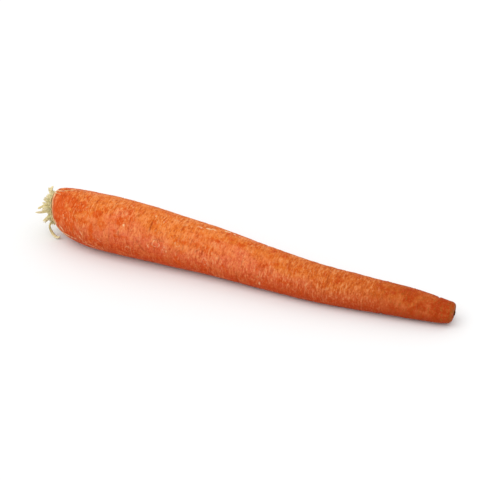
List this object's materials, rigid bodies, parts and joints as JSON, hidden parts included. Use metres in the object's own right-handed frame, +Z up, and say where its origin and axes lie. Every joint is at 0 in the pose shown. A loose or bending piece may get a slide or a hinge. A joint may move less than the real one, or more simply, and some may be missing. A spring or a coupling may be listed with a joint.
{
  "type": "carrot",
  "caption": "Whole fresh carrot lying on its side: long tapering orange root, gently bowed, with a blunt snapped tip and short torn leaf stalks in a dry-rimmed crown.",
  "frame": {"origin": "middle of the carrot's outer box, on the surface that the carrot rests on", "axes": "+Z up, +X along the root from the crown towards the thin tip, +Y to the side away from the root's bow"},
  "size_m": [0.2534, 0.0338, 0.0325],
  "materials": {
    "orange_skin": "satin",
    "dried_leaf": "matt",
    "green_stalk": "satin"
  },
  "bodies": {
    "root": {"root": "orange_skin", "dried_leaf_bases": "dried_leaf", "leaf_stalks": "green_stalk"}
  },
  "joints": []
}
